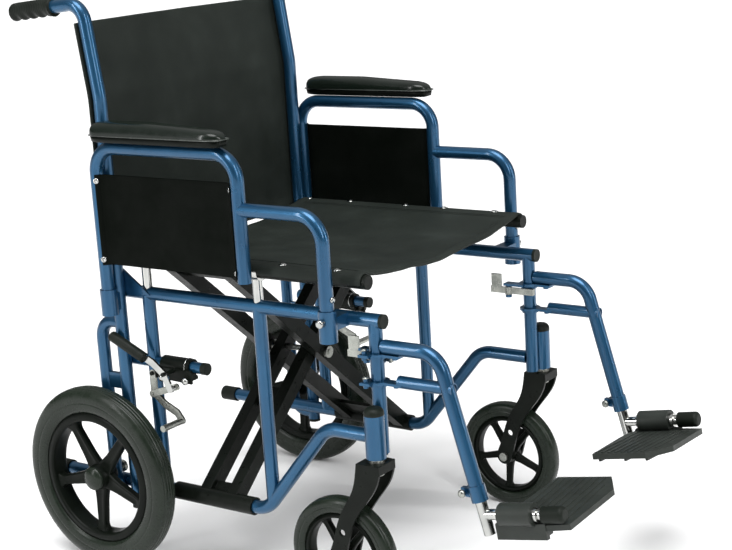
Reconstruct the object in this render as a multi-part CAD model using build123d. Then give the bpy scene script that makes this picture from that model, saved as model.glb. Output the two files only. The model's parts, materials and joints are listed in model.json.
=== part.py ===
from build123d import *
import math
import os

# Folding transport wheelchair, in millimetres.
# Working axes: X forward, Y to the chair's left, Z up from the floor.
# Everything is built for the left side and mirrored for the right one.

os.makedirs("parts", exist_ok=True)

# ---------------------------------------------------------------- driving dimensions
ORIGIN_X = 2.6          # working X of the part's origin, the middle of its length
GAP = 0.4               # clearance between pieces that move past each other
RUNNING = 0.05          # radial clearance of a running fit

# side frame
RAIL_Y = 228.0          # middle plane of a side frame
RAIL_R = 11.0
POST_R = 10.8
STUB_R = 9.5
WALL = 1.6
UPPER_Z = 466.0
LOWER_Z = 130.0
SEAT_Z = 523.0
FRONT_POST_X = 194.0
FRONT_POST_FOOT_Z = 262.0
RAIL_FRONT_X = 206.0
TAIL_X = -497.0
TAIL_END_X = -61.0
S_BEND = ((-38.0, LOWER_Z), (92.0, 285.0), (185.0, 285.0))
S_BEND_R = 45.0
GUIDE_X = (-24.0, -255.0)
GUIDE_FOOT_Z = (146.0, LOWER_Z)
STUB_Z = 350.0
STUB_END_X = -150.0

# cane: rear post and push handle
CANE_X = -303.0
CANE_Y = 247.0
CANE_FOOT_Z = 100.0
CANE_KINK_Z = 786.0
CANE_TOP = (-323.0, 936.0)
HANDLE_END = (-476.0, 922.0)
LOOP_X = -349.0
LOOP_R = 10.6
LOOP_TOP_Z = 417.0
LOOP_BOTTOM_Z = 112.0

# rear wheel
WHEEL_Y = 282.0
WHEEL_R = 154.6
WHEEL_W = 38.6
WHEEL_BEAD_R = 113.0
RIM_R = 98.0            # inner surface of the rear rim's ring
SPOKE_TURN = 40.0       # how far the first spoke leans forward from upright
AXLE_R = 6.0

# caster
CASTER_X = 129.3
CASTER_PIVOT_X = 199.0
CASTER_Y = 252.0
CASTER_R = 94.5
CASTER_W = 27.6
CASTER_BEAD_R = 70.0
CASTER_RIM_R = 61.5
CASTER_AXLE_R = 4.0
HOUSING_R = 15.5
HOUSING_Z = (262.0, 329.0)
NUT_FLOOR_Z = 316.0
STEM_BORE_R = 8.0
FORK_TOP_Z = 256.0

# armrest
ARM_Y = 270.0
ARM_TOP_Z = 711.0
ARM_REAR_X = -303.0
ARM_FRONT_X = -13.0
ARM_FRONT_FOOT_Z = 514.0
ARM_STEP_Z = 627.0
ARM_STEP_X = 139.0
ARM_BEND_R = 42.0
ARM_R = 11.0
STEP_R = 10.8
SOCKET_R = 13.8
SOCKET_Z = (435.0, 478.0)
GUARD_Z = (520.0, 668.0)
PAD_X = (-291.0, -21.0)
PAD_Z = (722.5, 756.0)
PAD_W = 44.0
PAD_Y = 281.5
BUTTON_Z = 470.0
BUTTON_PIN_R = 3.0

# folding cross brace
LIFT = SEAT_Z - LOWER_Z
BRACE_ANGLE = math.degrees(math.atan2(LIFT, 2 * RAIL_Y))
BRACE_LENGTH = math.hypot(LIFT, 2 * RAIL_Y)
BARS_A = (-84.0, -200.0)
BARS_B = (-110.0, -166.0)
BAR_W = 20.0
BAR_T = 25.0
SLEEVE_X = (-229.0, -63.0)
SLEEVE_R = 14.5
SEAT_RAIL_X = (-285.0, 183.0)
GUIDE_R = 8.0
GUIDE_BORE_R = GUIDE_R + GAP
GUIDE_LENGTH = 285.0
PIVOT_R = 5.0

# swing-away hanger and footrest
HANGER_TOP_Z = 428.0
HANGER_START_X = 209.0
HANGER_CORNER_X = 301.0
HANGER_END = (362.0, 214.0)
HANGER_BEND_R = 40.0
CROSSBAR_Z = 377.0
CROSSBAR_R = 9.5
PLATE_T = 4.0
UPPER_PLATE_Z = 414.0
LOWER_PLATE_Z = 371.0
EXTENSION_R = 8.8
EXTENSION_REACH = 51.0
EXTENSION_INSIDE = 120.0
PIVOT_START = (368.0, 194.3)
TOE_UP = 10.0
PIVOT_TUBE_R = 8.0
BARREL_R = 17.0
LEVER_PIVOT = (163.0, RAIL_Y - 17.0)

# brake
BRAKE_PIVOT = (-201.0, 345.0)
LEVER_ELBOW = (-224.0, 362.0)
LEVER_TIP = (-301.0, 396.0)
LINK_PIN = (-190.0, 321.0)
ARM_PIVOT = (-243.0, 337.0)
ARM_PIN = (-243.0, 303.0)
SICKLE = ((-222.0, 286.0), (-197.0, 275.0))
SHOE = (-188.0, 263.0)
SHOE_R = 5.4

# slings
BACK_Z = (512.0, 905.0)
SLING_T = 5.0


# ---------------------------------------------------------------- helpers
def rod(start, end, radius):
    """Round bar between two points."""
    start = Vector(*start)
    axis = Vector(*end) - start
    return extrude(Plane(origin=start, z_dir=axis) * Circle(radius), axis.length)


def upright(x, y, low, high, radius):
    """Vertical round bar."""
    return rod((x, y, low), (x, y, high), radius)


def crosswise(x, z, near, far, radius):
    """Round bar along Y."""
    return rod((x, near, z), (x, far, z), radius)


def block(xs, ys, zs):
    """Box between two corners."""
    size = (xs[1] - xs[0], ys[1] - ys[0], zs[1] - zs[0])
    middle = ((xs[0] + xs[1]) / 2, (ys[0] + ys[1]) / 2, (zs[0] + zs[1]) / 2)
    return Pos(*middle) * Box(*[abs(s) for s in size])


def slab(outline, y_low, y_high):
    """Outline in the XZ plane, extruded along Y."""
    points = [(x, y_low, z) for x, z in outline]
    face = make_face(Polyline(*points, close=True))
    return extrude(face, amount=y_high - y_low, dir=(0, 1, 0))


def bent(points, radius, bends):
    """Round bar along straight runs joined by bends."""
    if bends:
        path = FilletPolyline(*points, radius=bends)
    else:
        path = Polyline(*points)
    section = Plane(origin=path @ 0, z_dir=path % 0) * Circle(radius)
    return sweep(section, path=path)


def pipe(points, radius, bends=None, bore=None):
    """Outer solid and bore of a round tube."""
    bore = radius - WALL if bore is None else bore
    return bent(points, radius, bends), bent(points, bore, bends)


def boxes_meet(a, b):
    a = a.bounding_box()
    b = b.bounding_box()
    lows = (a.min.X < b.max.X, a.min.Y < b.max.Y, a.min.Z < b.max.Z)
    highs = (b.min.X < a.max.X, b.min.Y < a.max.Y, b.min.Z < a.max.Z)
    return all(lows) and all(highs)


def weldment(pieces, around=()):
    """Pieces of one welded frame, each cut to fit the ones before it."""
    smallest = 40.0
    taken = list(around)
    solids = []
    for outer, bore in pieces:
        piece = outer - bore if bore else outer
        for other in taken:
            if boxes_meet(piece, other):
                piece = piece - other
        solids += [s for s in piece.solids() if s.volume > smallest]
        taken.append(outer)
    return solids


def revolved(profile, x, z):
    """Profile of (radius, y) points turned about a crosswise axis at x, z."""
    points = [(x, y, z + r) for r, y in profile]
    face = make_face(Polyline(*points, close=True))
    return revolve(face, axis=Axis((x, 0, z), (0, 1, 0)))


def save(node, solids):
    solids = solids if isinstance(solids, list) else solids.solids()
    moved = [s.moved(Location((-ORIGIN_X, 0, 0))) for s in solids]
    shape = moved[0] if len(moved) == 1 else Compound(moved)
    export_step(shape, f"parts/{node}.step")


def save_pair(node, solids):
    solids = solids if isinstance(solids, list) else solids.solids()
    save(node + "_left", solids)
    save(node + "_right", [s.mirror(Plane.XZ) for s in solids])


# ---------------------------------------------------------------- side frame
def rail(points, y=RAIL_Y):
    return [(x, y, z) for x, z in points]


cane_path = [
    (CANE_X, CANE_Y, CANE_FOOT_Z),
    (CANE_X, CANE_Y, CANE_KINK_Z),
    (CANE_TOP[0], CANE_Y, CANE_TOP[1]),
    (HANDLE_END[0], CANE_Y, HANDLE_END[1]),
]
cane_outer, cane_bore = pipe(cane_path, RAIL_R, bends=[90.0, 32.0])
axle_hole = crosswise(LOOP_X, WHEEL_R, CANE_Y - 30, CANE_Y + 30, AXLE_R)
save_pair("back_cane", cane_outer - cane_bore)


def housing():
    """Caster housing: bored for the stem, with a pocket for its nut."""
    x, y = CASTER_PIVOT_X, CASTER_Y
    bore = upright(x, y, HOUSING_Z[0], NUT_FLOOR_Z, STEM_BORE_R)
    pocket = upright(x, y, NUT_FLOOR_Z, HOUSING_Z[1], 12.5)
    return upright(x, y, *HOUSING_Z, HOUSING_R), bore + pocket


def socket(x, tube_r, low, high):
    """Blind upright socket that an armrest tube drops into."""
    floor = 4.0
    bore = upright(x, ARM_Y, low + floor, high, tube_r + GAP)
    return upright(x, ARM_Y, low, high, SOCKET_R), bore


def side_frame():
    guide_holes = [upright(x, RAIL_Y, 440, 490, GUIDE_BORE_R) for x in GUIDE_X]
    upper_outer, upper_bore = pipe(rail([(-303, UPPER_Z), (RAIL_FRONT_X, UPPER_Z)]), RAIL_R)
    for hole in guide_holes:
        upper_bore = upper_bore + hole
    pieces = [
        (upper_outer, upper_bore),
        pipe(rail([(FRONT_POST_X, FRONT_POST_FOOT_Z), (FRONT_POST_X, UPPER_Z)]), POST_R),
        pipe(rail([(TAIL_X, LOWER_Z), (TAIL_END_X, LOWER_Z)]), RAIL_R),
        pipe(rail([(TAIL_END_X, LOWER_Z), *S_BEND]), RAIL_R, bends=S_BEND_R),
    ]
    for x, foot in zip(GUIDE_X, GUIDE_FOOT_Z):
        pieces.append(pipe(rail([(x, foot), (x, UPPER_Z)]), POST_R, bore=GUIDE_BORE_R))
    pieces.append(pipe(rail([(CANE_X, STUB_Z), (STUB_END_X, STUB_Z)]), STUB_R))
    loop_path = [
        (CANE_X, CANE_Y, LOOP_TOP_Z),
        (LOOP_X, CANE_Y, LOOP_TOP_Z),
        (LOOP_X, CANE_Y, LOOP_BOTTOM_Z),
        (CANE_X, CANE_Y, LOOP_BOTTOM_Z),
    ]
    loop_outer, loop_bore = pipe(loop_path, LOOP_R, bends=30.0)
    pieces.append((loop_outer, loop_bore + axle_hole))
    pieces.append((crosswise(LOOP_X, WHEEL_R, CANE_Y, 261.6, 9.0), axle_hole))
    pieces.append(housing())
    pieces.append(socket(ARM_REAR_X, ARM_R, *SOCKET_Z))
    front_socket, front_bore = socket(ARM_STEP_X, STEP_R, SOCKET_Z[0] + 3, SOCKET_Z[1] + 8)
    pin_hole = crosswise(ARM_STEP_X, BUTTON_Z, ARM_Y, ARM_Y + SOCKET_R + 1, BUTTON_PIN_R + RUNNING)
    pieces.append((front_socket, front_bore + pin_hole))
    # brackets that carry the sockets, the gusset on the rail and the tie to the wheel loop
    pieces.append((block((-312, -294), (CANE_Y, ARM_Y), (441, 470)), None))
    pieces.append((block((127, 151), (RAIL_Y, ARM_Y), (456, 476)), None))
    gusset = [(-300, 508), (-300, UPPER_Z), (-240, UPPER_Z)]
    pieces.append((slab(gusset, RAIL_Y + 9, RAIL_Y + 13), None))
    pieces.append((block((LOOP_X, CANE_X), (CANE_Y - 4, CANE_Y + 4), (302, 328)), None))
    # collars that carry the hanger's plates, and the latch lug for its release lever
    for top in (UPPER_PLATE_Z, LOWER_PLATE_Z):
        collar = upright(FRONT_POST_X, RAIL_Y, top - 4.4, top - GAP, 14.0)
        pieces.append((collar, None))
    lug = block((FRONT_POST_X + 3, FRONT_POST_X + 8), (RAIL_Y - 11, RAIL_Y - 7), (400, 409))
    pieces.append((lug, None))
    return weldment(pieces, around=[cane_outer])


save_pair("side_frame", side_frame())


def frame_plugs():
    """Black end plugs, the housing's dome cap and the tipping lever's rubber tip."""
    plug_t = 5.0
    front = rod((RAIL_FRONT_X, RAIL_Y, UPPER_Z), (RAIL_FRONT_X + plug_t, RAIL_Y, UPPER_Z), RAIL_R)
    stub = rod((STUB_END_X, RAIL_Y, STUB_Z), (STUB_END_X + 9, RAIL_Y, STUB_Z), STUB_R + 0.4)
    foot = upright(CANE_X, CANE_Y, CANE_FOOT_Z - plug_t, CANE_FOOT_Z, RAIL_R)
    post = upright(FRONT_POST_X, RAIL_Y, FRONT_POST_FOOT_Z - 3, FRONT_POST_FOOT_Z, POST_R - 2.6)
    cap = upright(CASTER_PIVOT_X, CASTER_Y, HOUSING_Z[1], HOUSING_Z[1] + 12, HOUSING_R)
    cap = fillet(cap.edges().group_by(Axis.Z)[-1], 9.0)
    tip = rod((TAIL_X - 11, RAIL_Y, LOWER_Z), (TAIL_X + 22, RAIL_Y, LOWER_Z), 13.6)
    tip = tip - rod((TAIL_X, RAIL_Y, LOWER_Z), (TAIL_X + 22, RAIL_Y, LOWER_Z), RAIL_R)
    solids = []
    for piece in (front, stub, foot, post, cap, tip):
        solids += piece.solids()
    return solids


save_pair("frame_plugs", frame_plugs())


def push_grip():
    """Moulded grip on the push handle, with finger scallops underneath."""
    top = Vector(CANE_TOP[0], CANE_Y, CANE_TOP[1])
    end = Vector(HANDLE_END[0], CANE_Y, HANDLE_END[1])
    along = (end - top).normalized()
    start = end - along * 91
    grip = rod(tuple(start), tuple(end + along * 4), 15.5)
    grip = fillet(grip.edges().group_by(Axis.X)[0], 5.0)
    down = Vector(-along.Z, 0, along.X)
    for i in range(4):
        knuckle = start + along * (16 + 20 * i) + down * 25.5
        grip = grip - crosswise(knuckle.X, knuckle.Z, CANE_Y - 20, CANE_Y + 20, 13.0)
    return grip - rod(tuple(start), tuple(end), RAIL_R)


save_pair("push_grip", push_grip())


# ---------------------------------------------------------------- wheels
def spoke_arm(x, z, hub_r, rim_r, hub_w, rim_w, y, thick, channel):
    """One tapered spoke, channelled on both faces, pointing up from x, z."""
    def taper(shrink, low, high):
        a = hub_w / 2 - shrink
        b = rim_w / 2 - shrink
        return [(x - a, z + low), (x + a, z + low), (x + b, z + high), (x - b, z + high)]
    arm = slab(taper(0, hub_r * 0.5, rim_r), y - thick / 2, y + thick / 2)
    groove = taper(4.0, hub_r + 5, rim_r - 5)
    for side in (-1, 1):
        face = y + side * thick / 2
        edges = sorted((face - side * channel, face + side))
        arm = arm - slab(groove, *edges)
    return arm


def rim(x, z, y, bead_r, ring_r, width, hub, spokes, bore):
    """Five-spoke rim: hub, spokes and a deep ring with bevelled flanges."""
    hub_r, hub_low, hub_high = hub
    wide, narrow, thick = spokes
    seat = width * 0.36
    lip = width * 0.44
    ring = revolved([
        (ring_r + 3, y - lip), (ring_r, y - seat), (ring_r, y + seat), (ring_r + 3, y + lip),
        (bead_r, y + seat), (bead_r, y - seat),
    ], x, z)
    body = ring + crosswise(x, z, hub_low, hub_high, hub_r)
    arm = spoke_arm(x, z, hub_r, ring_r + 4, wide, narrow, y, thick, thick * 0.3)
    for i in range(5):
        body = body + arm.rotate(Axis((x, 0, z), (0, 1, 0)), 72 * i + SPOKE_TURN)
    return body - bore


def tyre(x, z, y, radius, bead_r, width, grooves, depth):
    """Solid tyre with a crowned tread and grooves round it."""
    half = width / 2
    crown = 3.0
    outline = [
        (bead_r, y - half * 0.73), (bead_r + 8, y - half), (radius - half * 0.62, y - half),
        (radius - half * 0.22, y - half * 0.82), (radius - crown * 0.3, y - half * 0.5),
        (radius, y - half * 0.2), (radius, y + half * 0.2), (radius - crown * 0.3, y + half * 0.5),
        (radius - half * 0.22, y + half * 0.82), (radius - half * 0.62, y + half),
        (bead_r + 8, y + half), (bead_r, y + half * 0.73),
    ]
    body = revolved(outline, x, z)
    for shift in grooves:
        cut = [(radius - depth, y + shift - 0.9), (radius + 1, y + shift - 0.9),
               (radius + 1, y + shift + 0.9), (radius - depth, y + shift + 0.9)]
        body = body - revolved(cut, x, z)
    return body


wheel_bore = crosswise(LOOP_X, WHEEL_R, 261, 299.4, AXLE_R + RUNNING)
save_pair("rear_rim", rim(LOOP_X, WHEEL_R, WHEEL_Y, WHEEL_BEAD_R, RIM_R, WHEEL_W,
                          (22.0, 262.1, 303.0), (25.0, 15.0, 14.0), wheel_bore))
save_pair("rear_tyre", tyre(LOOP_X, WHEEL_R, WHEEL_Y, WHEEL_R, WHEEL_BEAD_R, WHEEL_W,
                            (-9.0, 0.0, 9.0), 2.2))
axle = crosswise(LOOP_X, WHEEL_R, 234, 299, AXLE_R) + crosswise(LOOP_X, WHEEL_R, 229, 235.4, 10.0)
save_pair("rear_axle", axle)

caster_bore = crosswise(CASTER_X, CASTER_R, CASTER_Y - 20, CASTER_Y + 20, CASTER_AXLE_R + RUNNING)
save_pair("caster_rim", rim(CASTER_X, CASTER_R, CASTER_Y, CASTER_BEAD_R, CASTER_RIM_R, CASTER_W,
                            (15.0, CASTER_Y - 16.6, CASTER_Y + 16.6), (13.0, 10.0, 11.0), caster_bore))
save_pair("caster_tyre", tyre(CASTER_X, CASTER_R, CASTER_Y, CASTER_R, CASTER_BEAD_R, CASTER_W,
                              (-6.5, 0.0, 6.5), 1.5))


def caster_fork():
    """Crown plate and two S-curved legs down to the axle, with a hole through each leg."""
    front, rear = CASTER_PIVOT_X + 18, CASTER_PIVOT_X - 23
    leg_t = 5.0
    half_width = 22.0
    front_curve = ((front, FORK_TOP_Z), (CASTER_PIVOT_X - 4, 201), (CASTER_X + 37, 161),
                   (CASTER_X + 23, 124), (CASTER_X + 13, 90))
    rear_curve = ((CASTER_X - 14, 97), (CASTER_X - 8, 115), (CASTER_X + 12, 170),
                  (CASTER_X + 36, 210), (rear, FORK_TOP_Z))
    with BuildPart() as leg:
        with BuildSketch(Plane.XZ):
            with BuildLine():
                Line(rear_curve[-1], front_curve[0])
                Spline(*front_curve, tangents=((0, -1), (-0.3, -1)))
                ThreePointArc(front_curve[-1], (CASTER_X, CASTER_R - 14), rear_curve[0])
                Spline(*rear_curve, tangents=((0.1, 1), (0.15, 1)))
            make_face()
        extrude(amount=leg_t)
    outer = CASTER_Y + half_width
    legs = leg.part.moved(Location((0, outer, 0)))
    legs = legs + leg.part.moved(Location((0, outer - 2 * half_width + leg_t, 0)))
    crown = block((rear, front), (CASTER_Y - half_width, CASTER_Y + half_width), (FORK_TOP_Z - 14, FORK_TOP_Z))
    fork = legs + crown
    fork = fork - upright(CASTER_PIVOT_X, CASTER_Y, FORK_TOP_Z - 20, FORK_TOP_Z + 1, STEM_BORE_R - 0.05)
    for x, z, radius in ((CASTER_X, CASTER_R, CASTER_AXLE_R), (CASTER_X + 13, 140, 5.5)):
        fork = fork - crosswise(x, z, CASTER_Y - 30, CASTER_Y + 30, radius)
    return fork


save_pair("caster_fork", caster_fork())

stem_r = STEM_BORE_R - RUNNING
stem = upright(CASTER_PIVOT_X, CASTER_Y, FORK_TOP_Z - 14, 327, stem_r)
stem_nut = Pos(CASTER_PIVOT_X, CASTER_Y, NUT_FLOOR_Z + 1) * extrude(RegularPolygon(11.0, 6), 8)
stem_washer = upright(CASTER_PIVOT_X, CASTER_Y, FORK_TOP_Z, FORK_TOP_Z + 2.5, 13.0)
stem_washer = stem_washer + upright(CASTER_PIVOT_X, CASTER_Y, FORK_TOP_Z, HOUSING_Z[0] - GAP, 11.0)
stem_head = upright(CASTER_PIVOT_X, CASTER_Y, FORK_TOP_Z - 20, FORK_TOP_Z - 14, 11.0)
save_pair("caster_stem", stem + stem_nut + stem_washer + stem_head)

caster_axle = crosswise(CASTER_X, CASTER_R, CASTER_Y - 27, CASTER_Y + 27, CASTER_AXLE_R)
for side in (-1, 1):
    edge = CASTER_Y + side * 22
    caster_axle = caster_axle + crosswise(CASTER_X, CASTER_R, *sorted((edge, edge + side * 5)), 7.5)
save_pair("caster_axle", caster_axle)


# ---------------------------------------------------------------- armrest
def armrest_frame():
    hoop_path = [
        (ARM_REAR_X, ARM_Y, SOCKET_Z[0] + 4.5),
        (ARM_REAR_X, ARM_Y, ARM_TOP_Z),
        (ARM_FRONT_X, ARM_Y, ARM_TOP_Z),
        (ARM_FRONT_X, ARM_Y, ARM_FRONT_FOOT_Z),
    ]
    step_path = [
        (ARM_FRONT_X, ARM_Y, ARM_STEP_Z),
        (ARM_STEP_X, ARM_Y, ARM_STEP_Z),
        (ARM_STEP_X, ARM_Y, SOCKET_Z[0] + 7.5),
    ]
    hoop = pipe(hoop_path, ARM_R, bends=ARM_BEND_R)
    step = pipe(step_path, STEP_R, bends=ARM_BEND_R)
    return weldment([hoop, step])


save_pair("armrest_frame", armrest_frame())

pad = block(PAD_X, (PAD_Y - PAD_W / 2, PAD_Y + PAD_W / 2), PAD_Z)
pad = fillet(pad.edges().filter_by(Axis.Z), 20.0)
pad = fillet(pad.edges().group_by(Axis.Z)[-1], 9.0)
save_pair("arm_pad", pad)

guard_x = (ARM_REAR_X + ARM_R + 0.2, ARM_FRONT_X - ARM_R - 0.2)
save_pair("skirt_guard", block(guard_x, (ARM_Y - 2, ARM_Y + 2), GUARD_Z))

# pull knob of the armrest lock, on the front socket
knob_y = ARM_Y + SOCKET_R + 0.4
button = crosswise(ARM_STEP_X, BUTTON_Z, knob_y, knob_y + 8.6, 6.5)
button = fillet(button.edges().group_by(Axis.Y)[-1], 3.0)
button = button + crosswise(ARM_STEP_X, BUTTON_Z, ARM_Y + STEP_R + 0.6, knob_y, BUTTON_PIN_R)
save_pair("arm_button", button)


# ---------------------------------------------------------------- cross brace
def brace(bars, webs, side):
    """Brace that rises from the lower rail on one side to the seat rail on the other.

    side is 1 where the lower end is on the left, and -1 where it is on the right.
    """
    low = Vector(0, side * RAIL_Y, LOWER_Z)
    high = Vector(0, -side * RAIL_Y, SEAT_Z)
    tilt = 180 - BRACE_ANGLE if side > 0 else BRACE_ANGLE
    middle = (low + high) * 0.5
    sleeve_ends = ((SLEEVE_X[0], low.Y, low.Z), (SLEEVE_X[1], low.Y, low.Z))
    rail_ends = ((SEAT_RAIL_X[0], high.Y, high.Z), (SEAT_RAIL_X[1], high.Y, high.Z))
    pieces = [
        (rod(*sleeve_ends, SLEEVE_R), rod(*sleeve_ends, RAIL_R + GAP)),
        (rod(*rail_ends, RAIL_R), rod(*rail_ends, RAIL_R - WALL)),
    ]

    def along(x_low, x_high, start, end, thick):
        """Piece along the brace, from start to end measured from its middle."""
        size = (x_high - x_low, end - start, thick)
        piece = Pos((x_low + x_high) / 2, (start + end) / 2, 0) * Box(*size)
        piece = piece.rotate(Axis.X, tilt)
        return piece.moved(Location(tuple(middle)))

    half = BRACE_LENGTH / 2
    for x in bars:
        bar = along(x - BAR_W / 2, x + BAR_W / 2, -half, half - 9, BAR_T)
        bore = along(x - BAR_W / 2 + 2, x + BAR_W / 2 - 2, -half, half, BAR_T - 4)
        hole = rod((x - BAR_W, middle.Y, middle.Z), (x + BAR_W, middle.Y, middle.Z), 8.0)
        bore = bore - hole
        pin_r = PIVOT_R if side > 0 else PIVOT_R + RUNNING
        bore = bore + rod((x - BAR_W, middle.Y, middle.Z), (x + BAR_W, middle.Y, middle.Z), pin_r)
        pieces.append((bar, bore))
    inner = (min(bars) + BAR_W / 2, max(bars) - BAR_W / 2)
    for start, end in webs:
        pieces.append((along(*inner, start, end, 6.0), None))
    return weldment(pieces)


half_brace = BRACE_LENGTH / 2
brace_a = brace(BARS_A, [(-half_brace, -half_brace + 60), (half_brace - 40, half_brace)], 1)
brace_b = brace(BARS_B, [(-120.0, -84.0), (-half_brace, -half_brace + 30)], -1)


def seat_rail_plugs(side):
    """Black plugs in both ends of a seat rail."""
    x0, x1 = SEAT_RAIL_X
    ends = ((x0 - 4, x0), (x1, x1 + 4))
    return [rod((a, side * RAIL_Y, SEAT_Z), (b, side * RAIL_Y, SEAT_Z), RAIL_R).solid() for a, b in ends]


save("cross_brace_a", brace_a + seat_rail_plugs(-1))
save("cross_brace_b", brace_b + seat_rail_plugs(1))

mid_z = (LOWER_Z + SEAT_Z) / 2
bolt_ends = (min(BARS_A) - BAR_W / 2, max(BARS_A) + BAR_W / 2)
pivot_bolt = rod((bolt_ends[0] - 12, 0, mid_z), (bolt_ends[1] + 9, 0, mid_z), PIVOT_R)
pivot_bolt = pivot_bolt + rod((bolt_ends[1], 0, mid_z), (bolt_ends[1] + 7, 0, mid_z), 10.0)
nut_plane = Plane(origin=(bolt_ends[0] - 9, 0, mid_z), z_dir=(1, 0, 0))
pivot_bolt = pivot_bolt + extrude(nut_plane * RegularPolygon(10.0, 6), 9)
for low, high in ((BARS_A[1] + 10, BARS_B[1] - 10), (BARS_B[0] + 10, BARS_A[0] - 10)):
    pivot_bolt = pivot_bolt + rod((low + GAP, 0, mid_z), (high - GAP, 0, mid_z), 9.0)
save("centre_bolt", pivot_bolt)


def guide_tubes():
    """Chrome tubes that slide in the guide posts, with a saddle clip under the seat rail."""
    solids = []
    for x in GUIDE_X:
        clip = rod((x - 11, RAIL_Y, SEAT_Z), (x + 11, RAIL_Y, SEAT_Z), 15.0)
        clip = clip - rod((x - 12, RAIL_Y, SEAT_Z), (x + 12, RAIL_Y, SEAT_Z), RAIL_R + GAP)
        clip = clip - block((x - 12, x + 12), (RAIL_Y - 20, RAIL_Y + 20), (SEAT_Z + 3, SEAT_Z + 20))
        low = SEAT_Z - GUIDE_LENGTH
        tube = upright(x, RAIL_Y, low, SEAT_Z, GUIDE_R) - upright(x, RAIL_Y, low, SEAT_Z, GUIDE_R - WALL)
        tube = tube - rod((x - 20, RAIL_Y, SEAT_Z), (x + 20, RAIL_Y, SEAT_Z), 15.0)
        solids += clip.solids() + tube.solids()
    return solids


save_pair("guide_tubes", guide_tubes())


# ---------------------------------------------------------------- hanger and footrest
def hanger():
    corner = (HANGER_CORNER_X, RAIL_Y, HANGER_TOP_Z)
    end = (HANGER_END[0], RAIL_Y, HANGER_END[1])
    tube_path = [(HANGER_START_X, RAIL_Y, HANGER_TOP_Z), corner, end]
    down = (Vector(*end) - Vector(*corner)).normalized()
    collar_top = Vector(*end) - down * 24
    post_hole = upright(FRONT_POST_X, RAIL_Y, 350, 440, POST_R + GAP)
    outer, bore = pipe(tube_path, RAIL_R, bends=HANGER_BEND_R)
    # clamp collar round the lower end, with an ear for its bolt
    collar = rod(tuple(collar_top), end, 12.8)
    ear_at = Vector(*end) - down * 11
    ear = Pos(ear_at.X - 18, ear_at.Y, ear_at.Z) * Box(18, 8, 13)
    bar_end = HANGER_CORNER_X + 25
    crossbar = rod((232, RAIL_Y, CROSSBAR_Z), (bar_end, RAIL_Y, CROSSBAR_Z), CROSSBAR_R)
    bar_bore = rod((232, RAIL_Y, CROSSBAR_Z), (bar_end, RAIL_Y, CROSSBAR_Z), CROSSBAR_R - WALL)
    pieces = [(outer, bore)]
    pieces.append((collar, rod(tuple(collar_top), end, RAIL_R)))
    pieces.append((ear, rod(tuple(collar_top), end, RAIL_R)))
    pieces.append((crossbar, bar_bore))
    # hook plates round the front post
    for z, reach in ((UPPER_PLATE_Z, 238.0), (LOWER_PLATE_Z, 240.0)):
        ring = upright(FRONT_POST_X, RAIL_Y, z, z + PLATE_T, 17.5)
        tongue = block((FRONT_POST_X, reach), (RAIL_Y - 9, RAIL_Y + 9), (z, z + PLATE_T))
        ear = block((FRONT_POST_X - 18, FRONT_POST_X), (RAIL_Y + 6, RAIL_Y + 24), (z, z + PLATE_T))
        plate = ring + tongue + ear
        if z == UPPER_PLATE_Z:
            plate = plate + block((156, FRONT_POST_X), (RAIL_Y - 22, RAIL_Y - 6), (z, z + PLATE_T))
        pieces.append((plate, post_hole))
    bolts = []
    for z in (UPPER_PLATE_Z, LOWER_PLATE_Z):
        bolts.append(upright(FRONT_POST_X - 11, RAIL_Y + 17, z - 5, z + PLATE_T + 6, 4.0))
        bolts.append(upright(226, RAIL_Y, z - 4, z, 4.5))
    bolts.append(rod((ear_at.X - 21, RAIL_Y - 11, ear_at.Z), (ear_at.X - 21, RAIL_Y + 11, ear_at.Z), 4.8))
    # pivot pin of the release lever
    bolts.append(upright(LEVER_PIVOT[0], LEVER_PIVOT[1], 396, UPPER_PLATE_Z, 3.0))
    bolts.append(upright(LEVER_PIVOT[0], LEVER_PIVOT[1], 394, 398, 5.5))
    plug = rod((HANGER_START_X - 3, RAIL_Y, HANGER_TOP_Z), (HANGER_START_X, RAIL_Y, HANGER_TOP_Z), RAIL_R - 1)
    pieces += [(bolt, None) for bolt in bolts]
    pieces.append((plug, None))
    return weldment(pieces)


save_pair("hanger", hanger())


def release_lever():
    """Flat latch bar beside the front post, with a thumb tab."""
    x, y = LEVER_PIVOT
    bar = block((129, 207), (y - 1.8, y + 1.8), (400, 411))
    hook = block((207, 210.5), (y - 1.8, y + 6), (400, 411))
    eye = upright(x, y, 399, 412, 6.0)
    tab = block((131, 150), (y - 1.8, y + 1.2), (411, 433))
    lever = bar + hook + eye + tab
    return lever - upright(x, y, 390, 420, 3.0 + GAP)


save_pair("release_lever", release_lever())


def pivot_point(s, w=0.0, y=RAIL_Y):
    """Point at distance s along the footplate's pivot and w above it."""
    c, t = math.cos(math.radians(TOE_UP)), math.sin(math.radians(TOE_UP))
    return (PIVOT_START[0] + s * c - w * t, y, PIVOT_START[1] + s * t + w * c)


def extension():
    end = Vector(HANGER_END[0], RAIL_Y, HANGER_END[1])
    down = (end - Vector(HANGER_CORNER_X, RAIL_Y, HANGER_TOP_Z)).normalized()
    top = end - down * EXTENSION_INSIDE
    foot = end + down * EXTENSION_REACH
    leg = (rod(tuple(top), tuple(foot), EXTENSION_R), rod(tuple(top), tuple(foot), EXTENSION_R - WALL))
    pivot = (rod(pivot_point(0), pivot_point(99), PIVOT_TUBE_R),
             rod(pivot_point(0), pivot_point(99), PIVOT_TUBE_R - WALL))
    stop = (rod(pivot_point(24), pivot_point(28.5), 11.0), None)
    nut = (rod(pivot_point(84), pivot_point(91), 11.0), None)
    return weldment([leg, pivot, stop, nut])


save_pair("extension_tube", extension())

bumper = rod(pivot_point(99), pivot_point(134), 12.5)
bumper = fillet(bumper.edges().group_by(Axis.X)[-1], 6.0)
save_pair("footplate_bumper", bumper)


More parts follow.
